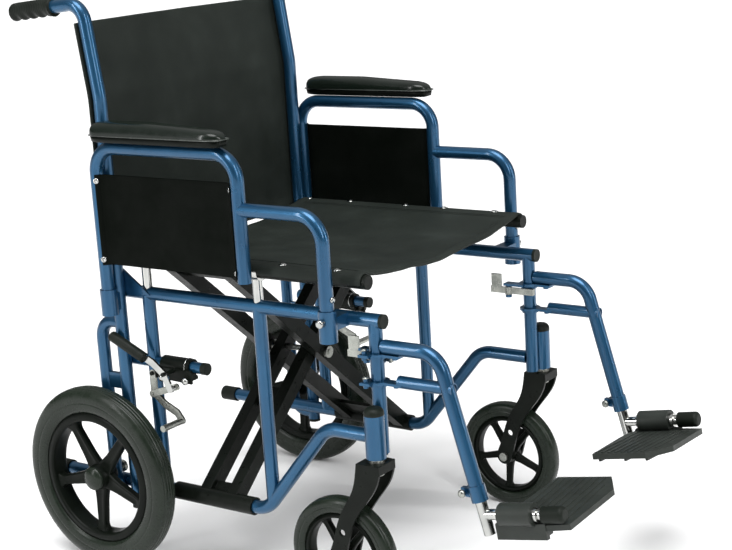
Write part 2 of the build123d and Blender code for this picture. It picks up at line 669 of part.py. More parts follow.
def footplate():
    """Moulded footplate: hinge barrel, side wall and a ribbed tread, hinged on the pivot tube."""
    def local(outline, low, high):
        points = [(s, y, low) for s, y in outline]
        return extrude(make_face(Polyline(*points, close=True)), amount=high - low, dir=(0, 0, 1))

    tread = [(14, -14), (14, -30), (15, -54), (27, -171), (119, -171), (145, -125), (137, -1), (100, 4),
             (100, -14)]
    deck = local(tread, -24.0, -15.0)
    for i in range(9):
        s = 30 + 11.5 * i
        far = -165 if s < 112 else -150 + (s - 112) * 1.2
        deck = deck + Pos(s, (far - 22) / 2, -14.6) * Box(4.0, abs(far + 22), 1.6)
    for s in (30, 75, 112):
        deck = deck + Pos(s, -85, -27) * Box(4.0, 140, 8)
    deck = deck.rotate(Axis.X, -4.5)
    wall = [(17, -37), (100, -37), (100, -12), (82, 0), (30, 0), (17, -14)]
    points = [(s, -4, w) for s, w in wall]
    side = extrude(make_face(Polyline(*points, close=True)), amount=8, dir=(0, 1, 0))
    barrel = rod((29, 0, 0), (83.5, 0, 0), BARREL_R)
    heel = Pos(58, -8, -24) * Box(82, 16, 18)
    body = deck + side + barrel + heel
    body = body - rod((0, 0, 0), (150, 0, 0), PIVOT_TUBE_R + GAP)
    body = body - rod((83.5, 0, 0), (150, 0, 0), 13.5) - rod((0, 0, 0), (29, 0, 0), 12.0)
    body = body.rotate(Axis.Y, -TOE_UP)
    return body.moved(Location((PIVOT_START[0], RAIL_Y, PIVOT_START[1])))


save_pair("footplate", footplate())


# ---------------------------------------------------------------- brake
def strap(a, b, width, y_low, y_high):
    """Flat bar with rounded ends between two points in the XZ plane."""
    bar = crosswise(*a, y_low, y_high, width / 2) + crosswise(*b, y_low, y_high, width / 2)
    dx, dz = b[0] - a[0], b[1] - a[1]
    length = math.hypot(dx, dz)
    nx, nz = -dz / length * width / 2, dx / length * width / 2
    outline = [(a[0] + nx, a[1] + nz), (b[0] + nx, b[1] + nz), (b[0] - nx, b[1] - nz), (a[0] - nx, a[1] - nz)]
    return bar + slab(outline, y_low, y_high)


Y_PLATE = (240.0, 244.0)
Y_ARM = (245.0, 249.0)
Y_LINK = (250.0, 254.0)
Y_LEVER = (264.0, 268.0)
PIN_R = 3.5
LINK_PLAY = 0.3         # play of the link on its pins


def brake_bracket():
    """Clamp on the stub tube, with the plate that carries both brake pivots."""
    stub_hole = rod((-240, RAIL_Y, STUB_Z), (STUB_END_X, RAIL_Y, STUB_Z), STUB_R)
    clamp = rod((-232, RAIL_Y, STUB_Z), (-172, RAIL_Y, STUB_Z), 13.5)
    foot = block((-230, -166), (RAIL_Y, Y_PLATE[1]), (STUB_Z - 16, STUB_Z - 8))
    outline = [(-232, STUB_Z - 2), (-164, STUB_Z - 2), (-164, 326), (-243, 329), (-250, 337), (-243, 345)]
    plate = slab(outline, *Y_PLATE)
    lever_pin = crosswise(*BRAKE_PIVOT, Y_PLATE[0], Y_LEVER[1] + 3, PIN_R)
    arm_pin = crosswise(*ARM_PIVOT, Y_PLATE[0], Y_ARM[1] + 3, PIN_R)
    body = clamp + foot + plate - stub_hole
    bolts = []
    for x in (-222, -172):
        bolts.append(crosswise(x, STUB_Z - 18, RAIL_Y - 6, Y_PLATE[1], 4.0))
        bolts.append(crosswise(x, STUB_Z - 18, Y_PLATE[1], Y_ARM[1], 6.0))
    return weldment([(body, None), (lever_pin, None), (arm_pin, None)] + [(b, None) for b in bolts])


LEVER_W = 12.0


def lever_handle():
    """Bent flat bar from the lever's pivot to its tip."""
    return strap(BRAKE_PIVOT, LEVER_ELBOW, LEVER_W, *Y_LEVER) + strap(LEVER_ELBOW, LEVER_TIP, LEVER_W, *Y_LEVER)


def brake_lever():
    """Lever: pivot in the middle, link pin below, handle above."""
    pivot_hole = crosswise(*BRAKE_PIVOT, Y_LEVER[0] - 1, Y_LEVER[1] + 1, PIN_R + RUNNING)
    tail = strap(BRAKE_PIVOT, LINK_PIN, LEVER_W, *Y_LEVER)
    lever = lever_handle() + tail - pivot_hole
    pin = crosswise(*LINK_PIN, Y_LINK[0], Y_LEVER[0], PIN_R)
    return weldment([(lever, None), (pin, None)])


def grip_on_lever():
    start = Vector(LEVER_ELBOW[0], 0, LEVER_ELBOW[1])
    tip = Vector(LEVER_TIP[0], 0, LEVER_TIP[1])
    along = (tip - start).normalized()
    y = (Y_LEVER[0] + Y_LEVER[1]) / 2 + 2.5
    near = tip - along * 68
    far = tip + along * 8
    grip = rod((near.X, y, near.Z), (far.X, y, far.Z), 8.8)
    grip = fillet(grip.edges().group_by(Axis.X)[0], 4.0)
    return grip - lever_handle()


def brake_link():
    """Link between the lever's pin and the shoe arm's pin."""
    link = strap(LINK_PIN, ARM_PIN, 11.0, *Y_LINK)
    for x, z in (LINK_PIN, ARM_PIN):
        link = link - crosswise(x, z, Y_LINK[0] - 1, Y_LINK[1] + 1, PIN_R + LINK_PLAY)
    return link


def brake_shoe():
    """Sickle-shaped shoe arm, its link pin and the bar that presses on the tread."""
    points = (ARM_PIVOT, ARM_PIN, *SICKLE, SHOE)
    arm = strap(points[0], points[1], 12.0, *Y_ARM)
    for start, end in zip(points[1:], points[2:]):
        arm = arm + strap(start, end, 12.0, *Y_ARM)
    arm = arm - crosswise(*ARM_PIVOT, Y_ARM[0] - 1, Y_ARM[1] + 1, PIN_R + RUNNING)
    pin = crosswise(*ARM_PIN, Y_ARM[1], Y_LINK[1] + 1, PIN_R)
    shoe = crosswise(*SHOE, Y_ARM[1], WHEEL_Y + 12, SHOE_R)
    return weldment([(arm, None), (pin, None), (shoe, None)])


save_pair("brake_bracket", brake_bracket())
save_pair("brake_lever", brake_lever())
save_pair("brake_grip", grip_on_lever())
save_pair("brake_link", brake_link())
save_pair("brake_shoe", brake_shoe())


# ---------------------------------------------------------------- slings
def seat_sling():
    """Plain sagging band between the seat rails."""
    edge_y, edge_z, sag = RAIL_Y - 11.5, SEAT_Z + 10.5, 21.0
    path = ThreePointArc((0, -edge_y, edge_z), (0, 0, edge_z - sag), (0, edge_y, edge_z))
    lower = ThreePointArc((0, -edge_y, edge_z - SLING_T), (0, 0, edge_z - sag - SLING_T),
                          (0, edge_y, edge_z - SLING_T))
    ends = [Line(path @ 0, lower @ 0), Line(path @ 1, lower @ 1)]
    face = make_face([path, lower, *ends]).moved(Location((-278, 0, 0)))
    return extrude(face, amount=456, dir=(1, 0, 0))


save("seat_upholstery", seat_sling())

lean = (CANE_TOP[0] - CANE_X) / (CANE_TOP[1] - CANE_KINK_Z)
front_x = CANE_X - RAIL_R - 1.0
top_shift = lean * (BACK_Z[1] - CANE_KINK_Z)
back_outline = [
    (front_x, BACK_Z[0]), (front_x, CANE_KINK_Z), (front_x + top_shift, BACK_Z[1]),
    (front_x + top_shift - SLING_T, BACK_Z[1]), (front_x - SLING_T, CANE_KINK_Z), (front_x - SLING_T, BACK_Z[0]),
]
save("back_upholstery", slab(back_outline, -CANE_Y - 12, CANE_Y + 12))
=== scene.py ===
import json
import math

import bmesh
import bpy
import numpy as np
from mathutils import Matrix, Vector, noise


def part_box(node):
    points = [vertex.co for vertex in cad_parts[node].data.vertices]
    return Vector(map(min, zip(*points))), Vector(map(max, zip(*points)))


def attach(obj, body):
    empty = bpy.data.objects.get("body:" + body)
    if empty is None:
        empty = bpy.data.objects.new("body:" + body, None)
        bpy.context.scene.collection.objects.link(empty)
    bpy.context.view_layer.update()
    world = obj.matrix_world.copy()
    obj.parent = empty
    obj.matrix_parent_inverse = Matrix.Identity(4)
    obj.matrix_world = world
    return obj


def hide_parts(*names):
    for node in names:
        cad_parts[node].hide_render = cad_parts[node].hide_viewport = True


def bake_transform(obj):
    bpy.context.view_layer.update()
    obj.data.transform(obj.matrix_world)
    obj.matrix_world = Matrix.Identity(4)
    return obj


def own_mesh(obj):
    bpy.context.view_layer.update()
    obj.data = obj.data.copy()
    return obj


# The looks of the folding transport chair. Every length is in metres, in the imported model's own frame:
# X forward, Y to the chair's left, Z up from the floor.

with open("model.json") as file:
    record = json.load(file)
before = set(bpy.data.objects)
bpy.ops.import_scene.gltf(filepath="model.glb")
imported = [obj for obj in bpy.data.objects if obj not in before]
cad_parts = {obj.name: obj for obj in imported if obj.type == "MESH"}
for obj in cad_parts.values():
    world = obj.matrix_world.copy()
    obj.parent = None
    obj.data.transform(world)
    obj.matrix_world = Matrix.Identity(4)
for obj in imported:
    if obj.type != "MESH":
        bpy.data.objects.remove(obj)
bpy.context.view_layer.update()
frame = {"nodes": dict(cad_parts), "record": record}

SIDES = (("left", 1.0), ("right", -1.0))
TUBE_R = 0.011
SKIN = 0.0003              # air between a skin and the tube it wraps


# ---------------------------------------------------------------- places, read from the frame
def span(node):
    low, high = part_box(node)
    return Vector(low), Vector(high)


def middle(node):
    low, high = span(node)
    return (low + high) / 2


RAIL_Y = middle("guide_tubes_left").y
SEAT_LOW, SEAT_HIGH = span("seat_upholstery")
SEAT_RAIL_Z = span("cross_brace_a")[1].z - TUBE_R
BACK_LOW, BACK_HIGH = span("back_upholstery")
CANE_X = span("back_cane_left")[1].x - TUBE_R
CANE_Y = middle("back_cane_left").y
FLOOR_Z = 0.0


# ---------------------------------------------------------------- mesh helpers
def add_object(name, verts, faces, smooth=True):
    mesh = bpy.data.meshes.new(name)
    mesh.from_pydata([tuple(v) for v in verts], [], faces)
    mesh.validate()
    mesh.update()
    tidy = bmesh.new()
    tidy.from_mesh(mesh)
    bmesh.ops.recalc_face_normals(tidy, faces=tidy.faces)
    tidy.to_mesh(mesh)
    tidy.free()
    for polygon in mesh.polygons:
        polygon.use_smooth = smooth
    piece = bpy.data.objects.new(name, mesh)
    bpy.context.scene.collection.objects.link(piece)
    return piece


def apply_modifiers(piece):
    shown = piece.evaluated_get(bpy.context.evaluated_depsgraph_get())
    mesh = bpy.data.meshes.new_from_object(shown)
    piece.modifiers.clear()
    piece.data = mesh
    return piece


def subdivide(piece, levels=1):
    step = piece.modifiers.new("subdivide", "SUBSURF")
    step.levels = levels
    step.render_levels = levels
    return apply_modifiers(piece)


def join(name, pieces):
    """One piece out of several, all at the origin."""
    verts, faces = [], []
    for piece in pieces:
        start = len(verts)
        verts += [v.co.copy() for v in piece.data.vertices]
        faces += [[start + i for i in p.vertices] for p in piece.data.polygons]
        bpy.data.objects.remove(piece)
    return add_object(name, verts, faces)


def loft(name, rings, closed_ends=True, loop=False):
    """Skin over rings that all have the same number of points."""
    count = len(rings[0])
    verts = [p for ring in rings for p in ring]
    faces = []
    last = len(rings) if loop else len(rings) - 1
    for i in range(last):
        a, b = i * count, ((i + 1) % len(rings)) * count
        for j in range(count):
            k = (j + 1) % count
            faces.append([a + j, a + k, b + k, b + j])
    if closed_ends and not loop:
        for start in (0, (len(rings) - 1) * count):
            centre = sum((Vector(v) for v in verts[start:start + count]), Vector()) / count
            verts.append(centre)
            hub = len(verts) - 1
            for j in range(count):
                faces.append([start + j, start + (j + 1) % count, hub])
    return add_object(name, verts, faces)


def frame_of(direction):
    """A direction as a unit vector, and two more that are square to it."""
    along = Vector(direction).normalized()
    side = along.cross(Vector((0, 0, 1)))
    if side.length < 0.01:
        side = along.cross(Vector((1, 0, 0)))
    side.normalize()
    return along, side, along.cross(side)


def lathe(name, at, direction, profile, steps=32, loop=False):
    """Profile of (distance along, radius) turned about a line through at."""
    along, side, up = frame_of(direction)
    rings = []
    for distance, radius in profile:
        ring = []
        for i in range(steps):
            turn = math.tau * i / steps
            outward = side * math.cos(turn) + up * math.sin(turn)
            ring.append(Vector(at) + along * distance + outward * radius)
        rings.append(ring)
    return loft(name, rings, closed_ends=not loop, loop=loop)


def cord_tube(name, points, radius, steps=8, closed=False):
    """Thin round bead along points."""
    rings = []
    count = len(points)
    for i, point in enumerate(points):
        ahead = points[(i + 1) % count] if closed or i + 1 < count else points[i]
        behind = points[i - 1] if closed or i else points[i]
        _, side, up = frame_of(Vector(ahead) - Vector(behind))
        ring = []
        for j in range(steps):
            turn = math.tau * j / steps
            ring.append(Vector(point) + (side * math.cos(turn) + up * math.sin(turn)) * radius)
        rings.append(ring)
    return loft(name, rings, loop=closed)


def thick_sheet(name, mid, half):
    """Closed cloth from a grid of middle points; half is half its thickness at a grid point."""
    rows, cols = len(mid), len(mid[0])
    points = np.array([[tuple(p) for p in row] for row in mid])
    across = np.gradient(points, axis=0)
    forward = np.gradient(points, axis=1)
    normal = np.cross(across, forward)
    normal /= np.linalg.norm(normal, axis=2)[:, :, None]
    rings = []
    for j in range(cols):
        top = [points[i, j] + normal[i, j] * half(i, j) for i in range(rows)]
        low = [points[i, j] - normal[i, j] * half(i, j) for i in range(rows)]
        first = points[0, j] - across[0, j] / np.linalg.norm(across[0, j]) * half(0, j)
        final = points[-1, j] + across[-1, j] / np.linalg.norm(across[-1, j]) * half(rows - 1, j)
        rings.append([first, *top, final, *reversed(low)])
    verts = [Vector(p) for ring in rings for p in ring]
    count = len(rings[0])
    faces = []
    for j in range(cols - 1):
        a, b = j * count, (j + 1) * count
        for k in range(count):
            faces.append([a + k, a + (k + 1) % count, b + (k + 1) % count, b + k])
    for j in (0, cols - 1):
        base = j * count
        for k in range(rows - 1):
            faces.append([base + 1 + k, base + 2 + k, base + count - 2 - k, base + count - 1 - k])
        faces.append([base, base + 1, base + count - 1])
        faces.append([base + rows, base + rows + 1, base + rows + 2])
    return add_object(name, verts, faces)


# ---------------------------------------------------------------- materials
def new_material(name):
    material = bpy.data.materials.new(name)
    material.use_nodes = True
    tree = material.node_tree
    shader = tree.nodes["Principled BSDF"]
    coords = tree.nodes.new("ShaderNodeTexCoord")
    return material, tree, shader, coords.outputs["Object"]


def add_noise(tree, coords, scale, detail=3.0, stretch=(1, 1, 1)):
    mapping = tree.nodes.new("ShaderNodeMapping")
    mapping.inputs["Scale"].default_value = stretch
    texture = tree.nodes.new("ShaderNodeTexNoise")
    texture.inputs["Scale"].default_value = scale
    texture.inputs["Detail"].default_value = detail
    tree.links.new(coords, mapping.inputs["Vector"])
    tree.links.new(mapping.outputs["Vector"], texture.inputs["Vector"])
    return texture.outputs["Fac"]


def ramp(tree, value, stops):
    node = tree.nodes.new("ShaderNodeValToRGB")
    elements = node.color_ramp.elements
    while len(elements) < len(stops):
        elements.new(0.5)
    for element, (place, colour) in zip(elements, stops):
        element.position = place
        element.color = (*colour, 1.0) if len(colour) == 3 else colour
    tree.links.new(value, node.inputs["Fac"])
    return node.outputs["Color"]


def grey(value):
    return (value, value, value)


def combine(tree, kind, first, second):
    node = tree.nodes.new("ShaderNodeMath")
    node.operation = kind
    for socket, value in zip(node.inputs, (first, second)):
        if isinstance(value, (int, float)):
            socket.default_value = value
        else:
            tree.links.new(value, socket)
    return node.outputs["Value"]


def bump(tree, shader, height, strength, distance, edge=0.0):
    node = tree.nodes.new("ShaderNodeBump")
    node.inputs["Strength"].default_value = strength
    node.inputs["Distance"].default_value = distance
    tree.links.new(height, node.inputs["Height"])
    if edge:
        rounding = tree.nodes.new("ShaderNodeBevel")
        rounding.samples = 4
        rounding.inputs["Radius"].default_value = edge
        tree.links.new(rounding.outputs["Normal"], node.inputs["Normal"])
    tree.links.new(node.outputs["Normal"], shader.inputs["Normal"])


def settings(shader, **values):
    for key, value in values.items():
        shader.inputs[key.replace("_", " ")].default_value = value


def blue_lacquer():
    material, tree, shader, coords = new_material("blue_lacquer")
    settings(shader, Metallic=0.72, Coat_Weight=0.45, Coat_Roughness=0.10, Coat_IOR=1.45)
    tone = add_noise(tree, coords, 9.0, 2.0)
    flakes = add_noise(tree, coords, 1400.0, 1.0)
    mixed = combine(tree, "ADD", combine(tree, "MULTIPLY", tone, 0.6), combine(tree, "MULTIPLY", flakes, 0.4))
    stops = [(0.3, (0.007, 0.054, 0.122)), (0.55, (0.011, 0.074, 0.158)), (0.75, (0.017, 0.095, 0.195))]
    tree.links.new(ramp(tree, mixed, stops), shader.inputs["Base Color"])
    rough = ramp(tree, add_noise(tree, coords, 60.0), [(0.3, grey(0.27)), (0.7, grey(0.34))])
    tree.links.new(rough, shader.inputs["Roughness"])
    bump(tree, shader, add_noise(tree, coords, 260.0, 2.0), 0.02, 0.0002)
    return material


def black_lacquer():
    material, tree, shader, coords = new_material("black_lacquer")
    settings(shader, Specular_IOR_Level=0.10)
    stops = [(0.3, (0.003, 0.004, 0.003)), (0.7, (0.006, 0.008, 0.006))]
    tree.links.new(ramp(tree, add_noise(tree, coords, 25.0), stops), shader.inputs["Base Color"])
    rough = ramp(tree, add_noise(tree, coords, 80.0), [(0.3, grey(0.26)), (0.7, grey(0.40))])
    tree.links.new(rough, shader.inputs["Roughness"])
    bump(tree, shader, add_noise(tree, coords, 500.0, 2.0), 0.15, 0.0003, edge=0.0014)
    return material


def chrome():
    material, tree, shader, coords = new_material("polished_chrome")
    settings(shader, Metallic=1.0)
    stops = [(0.35, (0.36, 0.37, 0.36)), (0.7, (0.50, 0.50, 0.48))]
    tree.links.new(ramp(tree, add_noise(tree, coords, 30.0), stops), shader.inputs["Base Color"])
    rough = ramp(tree, add_noise(tree, coords, 140.0), [(0.35, grey(0.07)), (0.75, grey(0.18))])
    tree.links.new(rough, shader.inputs["Roughness"])
    bump(tree, shader, add_noise(tree, coords, 700.0), 0.05, 0.0002)
    return material


def zinc():
    material, tree, shader, coords = new_material("zinc_plate")
    settings(shader, Metallic=1.0)
    stops = [(0.3, (0.24, 0.25, 0.23)), (0.6, (0.36, 0.37, 0.34)), (0.8, (0.46, 0.45, 0.40))]
    tree.links.new(ramp(tree, add_noise(tree, coords, 45.0), stops), shader.inputs["Base Color"])
    rough = ramp(tree, add_noise(tree, coords, 220.0), [(0.3, grey(0.22)), (0.7, grey(0.42))])
    tree.links.new(rough, shader.inputs["Roughness"])
    streaks = add_noise(tree, coords, 300.0, 2.0, stretch=(1, 1, 6))
    bump(tree, shader, streaks, 0.12, 0.0003, edge=0.0006)
    return material


def moulded(name, dark, light, rough_low, rough_high, shine, grain=900.0, depth=0.2, edge=0.0):
    """Moulded plastic or rubber: slightly uneven tone with a fine grain."""
    material, tree, shader, coords = new_material(name)
    settings(shader, Specular_IOR_Level=shine)
    stops = [(0.3, dark), (0.7, light)]
    tree.links.new(ramp(tree, add_noise(tree, coords, 18.0), stops), shader.inputs["Base Color"])
    rough = ramp(tree, add_noise(tree, coords, 70.0), [(0.3, grey(rough_low)), (0.7, grey(rough_high))])
    tree.links.new(rough, shader.inputs["Roughness"])
    bump(tree, shader, add_noise(tree, coords, grain, 2.0), depth, 0.0003, edge=edge)
    return material


def woven(name, across, along, pitch=0.0011):
    """Nylon cloth: a plain weave of two thread directions, slightly mottled, with a soft sheen."""
    material, tree, shader, coords = new_material(name)
    settings(shader, Specular_IOR_Level=0.16)
    split = tree.nodes.new("ShaderNodeSeparateXYZ")
    tree.links.new(coords, split.inputs["Vector"])
    rate = math.tau / pitch
    threads = []
    for axis in (across, along):
        wave = combine(tree, "SINE", combine(tree, "MULTIPLY", split.outputs[axis], rate), 0.0)
        threads.append(wave)
    weave = combine(tree, "MULTIPLY", threads[0], threads[1])
    cloudy = add_noise(tree, coords, 14.0, 4.0)
    fibre = add_noise(tree, coords, 900.0, 2.0)
    clouds = combine(tree, "MULTIPLY", cloudy, 0.7)
    tone = combine(tree, "ADD", clouds, combine(tree, "MULTIPLY", fibre, 0.3))
    stops = [(0.3, (0.008, 0.011, 0.009)), (0.55, (0.014, 0.018, 0.015)), (0.75, (0.024, 0.030, 0.026))]
    tree.links.new(ramp(tree, tone, stops), shader.inputs["Base Color"])
    rough = ramp(tree, fibre, [(0.3, grey(0.50)), (0.7, grey(0.72))])
    tree.links.new(rough, shader.inputs["Roughness"])
    threads = combine(tree, "MULTIPLY", weave, 0.5)
    height = combine(tree, "ADD", threads, combine(tree, "MULTIPLY", fibre, 0.5))
    bump(tree, shader, height, 0.35, 0.0004)
    return material


MATERIALS = {
    "frame_blue": blue_lacquer(),
    "black_steel": black_lacquer(),
    "chrome": chrome(),
    "zinc": zinc(),
    "black_plastic": moulded("satin_black_plastic", (0.003, 0.004, 0.003), (0.005, 0.007, 0.005),
                             0.28, 0.42, 0.08),
    "guard_sheet": moulded("matt_black_sheet", (0.002, 0.003, 0.002), (0.004, 0.005, 0.004),
                           0.5, 0.65, 0.03),
    "ribbed_plastic": moulded("ribbed_grey_plastic", (0.012, 0.015, 0.012), (0.024, 0.029, 0.025),
                              0.4, 0.55, 0.3, edge=0.0012),
    "black_rubber": moulded("black_rubber", (0.004, 0.006, 0.004), (0.009, 0.012, 0.009),
                            0.40, 0.55, 0.14),
    "tyre": moulded("solid_tyre", (0.006, 0.010, 0.006), (0.012, 0.018, 0.012),
                    0.22, 0.34, 0.24, 400.0, 0.04),
    "arm_pad": moulded("skinned_foam", (0.004, 0.007, 0.005), (0.007, 0.011, 0.008),
                       0.16, 0.24, 0.30, 1400.0, 0.03),
    # the lip is coloured much paler than the pad and the tray: a painted highlight standing in for the light
    # line along the parting lip
    "lip_highlight": moulded("painted_highlight_lip", (0.030, 0.036, 0.031), (0.045, 0.052, 0.046),
                       0.22, 0.30, 0.5, 1400.0, 0.03),
    "nylon": woven("woven_nylon", "X", "Y"),
    "nylon_upright": woven("woven_nylon_upright", "Y", "Z"),
}


def finish_as(piece, slot, body=None, look=None):
    """Gives a new piece its material and the body it rides on."""
    piece.data.materials.clear()
    piece.data.materials.append(MATERIALS[look or slot])
    if body:
        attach(piece, body)
    return piece


NODE_LOOKS = {"footplate": "ribbed_plastic", "brake_bracket": "black_steel"}


def dress_cad_nodes():
    """Each CAD node that stays visible gets the finished material of its own slot."""
    slots = {row["node"]: row["material_slot"] for row in frame["record"]["subparts"]}
    for name, piece in frame["nodes"].items():
        kind = name.rsplit("_", 1)[0]
        look = MATERIALS[NODE_LOOKS.get(kind, slots[name])]
        if not piece.material_slots:
            piece.data.materials.append(look)
        for material_slot in piece.material_slots:
            material_slot.link = "OBJECT"
            material_slot.material = look


# ---------------------------------------------------------------- fasteners
def pan_screw(name, at, outward, radius=0.0048):
    """Pan head with a cross recess."""
    along, side, up = frame_of(outward)
    steps, depth = 32, radius * 0.45
    radii = (0.0, 0.16, 0.3, 0.42, 0.56, 0.72, 0.86, 0.96, 1.0)
    rings = []
    for share in radii[1:]:
        ring = []
        for i in range(steps):
            turn = math.tau * i / steps
            x, y = math.cos(turn) * share * radius, math.sin(turn) * share * radius
            height = depth * math.sqrt(max(1.0 - 0.85 * share * share, 0.0))
            in_cross = min(abs(x), abs(y)) < radius * 0.13 and share < 0.6
            if in_cross:
                height -= depth * 0.6
            ring.append(Vector(at) + along * height + side * x + up * y)
        rings.append(ring)
    rings.append([p - along * (p - Vector(at)).dot(along) for p in rings[-1]])
    return loft(name, rings)


# ---------------------------------------------------------------- seat sling
SEAT_R = TUBE_R + SKIN + 0.0016     # middle of the cloth round a seat rail
SEAT_SAG_SLOPE = math.radians(11.0)
HEM_TURN = math.radians(100.0)


SEAT_WRAP_STEPS = 9


def seat_line(count):
    """Cross-section of the sling from one rail's outer side to the other's."""
    edge_y = RAIL_Y - SEAT_R * math.sin(SEAT_SAG_SLOPE)
    edge_z = SEAT_RAIL_Z + SEAT_R * math.cos(SEAT_SAG_SLOPE)
    sag = math.tan(SEAT_SAG_SLOPE) * edge_y / 2
    line = []
    for i in range(SEAT_WRAP_STEPS):
        turn = HEM_TURN - (HEM_TURN + SEAT_SAG_SLOPE) * i / SEAT_WRAP_STEPS
        line.append((RAIL_Y + SEAT_R * math.sin(turn), SEAT_RAIL_Z + SEAT_R * math.cos(turn)))
    for i in range(count + 1):
        y = edge_y * (1 - i / count * 2)
        line.append((y, edge_z - sag * (1 - (y / edge_y) ** 2)))
    for y, z in reversed(line[:SEAT_WRAP_STEPS]):
        line.append((-y, z))
    return line


def seat_wrinkle(x, y):
    """Height of the soft folds, strongest near the front hem and the rails."""
    inside = max(0.0, 1.0 - (abs(y) / (RAIL_Y - 0.012)) ** 4)
    near_front = math.exp(-(SEAT_HIGH.x - x) / 0.075)
    near_back = math.exp(-(x - SEAT_LOW.x) / 0.09)
    lean = y + 0.35 * (x - SEAT_HIGH.x)
    folds = math.sin(lean * 38.0 + 1.6 * noise.noise(Vector((x * 6, y * 6, 0.3))))
    broad = noise.noise(Vector((x * 8.0, y * 11.0, 1.7)))
    fine = noise.noise(Vector((x * 24.0, y * 34.0, 4.1)))
    near_rail = math.exp(-(RAIL_Y - abs(y)) / 0.05)
    pull = math.sin(x * 62.0 + 1.0) * near_rail
    at_hem = 1.0 - 0.8 * math.exp(-(SEAT_HIGH.x - x) / 0.016)
    height = 0.0044 * folds * near_front * at_hem + 0.0026 * broad + 0.0009 * fine
    height += 0.0012 * pull + 0.0014 * folds * near_back
    return inside * height


def seat_sling():
    line = seat_line(64)
    rows = len(line)
    steps = 72
    front_x = SEAT_HIGH.x + 0.003
    rear_x = SEAT_LOW.x
    mid = []
    for y, z in line:
        row = []
        for j in range(steps + 1):
            x = rear_x + (front_x - rear_x) * j / steps
            row.append(Vector((x, y, z + seat_wrinkle(x, y))))
        mid.append(row)

    hem_cells = 3

    def half(i, j):
        from_end = min(j, steps - j)
        roll = 0.0028 if from_end < hem_cells else 0.0
        on_span = 1.0 if SEAT_WRAP_STEPS <= i < rows - SEAT_WRAP_STEPS else 0.25
        return 0.0013 + roll * on_span * (1.0 if from_end else 0.6)

    sling = thick_sheet("seat_sling", mid, half)
    subdivide(sling)
    finish_as(sling, "nylon")
    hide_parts("seat_upholstery")
    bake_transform(sling)
    return sling


def seat_stitching():
    """Two rows of lock stitches beside each rail hem."""
    line = seat_line(64)
    stitch, pitch = 0.0036, 0.0052
    rows = []
    for side in (1, -1):
        for inset in (0.020, 0.025):
            dashes = []
            y = side * (RAIL_Y - inset)
            z = min(line, key=lambda p: abs(p[0] - y))[1]
            x = SEAT_LOW.x + 0.012
            while x < SEAT_HIGH.x - 0.012:
                ends = []
                for place in (x, x + stitch / 2, x + stitch):
                    lift = 0.0017 if place == x + stitch / 2 else 0.0012
                    ends.append(Vector((place, y, z + seat_wrinkle(place, y) + lift)))
                dashes.append(cord_tube("dash", ends, 0.00042, 5))
                x += pitch
            rows.append((side, dashes))
    for side, body in ((-1, "brace_a"), (1, "brace_b")):
        dashes = [d for s, group in rows if s == side for d in group]
        finish_as(join(f"seat_stitching_{body}", dashes), "nylon", body)


def seat_screws():
    """Silver screws through the hems into both seat rails."""
    places = (0.128, 0.027, -0.053, -0.173, -0.265)
    top = SEAT_RAIL_Z + SEAT_R + 0.0012
    for side, body in ((-1, "brace_a"), (1, "brace_b")):
        heads = []
        for x in places:
            heads.append(pan_screw("head", (x, side * RAIL_Y, top), (0, 0, 1)))
            heads.append(lathe("cup", (x, side * RAIL_Y, top - 0.0006), (0, 0, 1),
                               [(0, 0.0068), (0.0011, 0.0066), (0.0014, 0.0050)], 28))
        finish_as(join(f"seat_screws_{body}", heads), "chrome", body)


# ---------------------------------------------------------------- back sling
KINK_Z = 0.786
LEAN = 20.0 / 150.0
BEND_HALF = 0.012


def cane_shift(z):
    """How far the cane's middle has moved back at a height, with its bend eased."""
    over = z - KINK_Z
    if over <= -BEND_HALF:
        return 0.0
    if over >= BEND_HALF:
        return -LEAN * over
    return -LEAN * (over + BEND_HALF) ** 2 / (4 * BEND_HALF)


def back_wrinkle(y, z):
    inside = max(0.0, 1.0 - (abs(y) / (CANE_Y - 0.012)) ** 2)
    broad = noise.noise(Vector((y * 5.0, z * 4.0, 7.7)))
    fine = noise.noise(Vector((y * 30.0, z * 22.0, 2.2)))
    top_pull = math.exp(-(BACK_HIGH.z - z) / 0.05) * math.sin(y * 40.0 + 1.5 * broad)
    return inside * (0.0032 * broad + 0.0006 * fine + 0.0012 * top_pull)


def back_sling():
    """Sling stretched behind the canes, with a hem round the back of each."""
    reach = BACK_HIGH.y - 0.001
    behind = TUBE_R + 0.0027
    bow = 0.009
    rows, steps = 84, 56
    mid = []
    for i in range(rows + 1):
        y = -reach + 2 * reach * i / rows
        row = []
        for j in range(steps + 1):
            z = BACK_LOW.z + (BACK_HIGH.z - BACK_LOW.z) * j / steps
            share = min(abs(y) / CANE_Y, 1.0)
            upper = max(z - KINK_Z, 0.0) / (BACK_HIGH.z - KINK_Z)
            depth = behind + (bow + 0.007 * upper) * (1 - share ** 2)
            past = max(abs(y) - CANE_Y, 0.0)
            depth -= 0.10 * past * past / 0.012
            x = CANE_X + cane_shift(z) - depth - back_wrinkle(y, z)
            row.append(Vector((x, y, z)))
        mid.append(row)

    def half(i, j):
        edge = min(i, rows - i) < 2 or min(j, steps - j) < 3
        return 0.0013 + (0.0010 if edge else 0.0)

    sling = thick_sheet("back_sling", mid, half)
    subdivide(sling)
    finish_as(sling, "nylon", "frame_left", look="nylon_upright")
    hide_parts("back_upholstery")
    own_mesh(sling)
    return sling


def back_screws():
    for side, sign in SIDES:
        heads = []
        for i in range(4):
            z = BACK_LOW.z + 0.03 + (BACK_HIGH.z - BACK_LOW.z - 0.05) * i / 3
            x = CANE_X + cane_shift(z) - TUBE_R - 0.0042
            heads.append(pan_screw("head", (x, sign * CANE_Y, z), (-1, 0, 0)))
        finish_as(join(f"back_screws_{side}", heads), "chrome", f"frame_{side}")


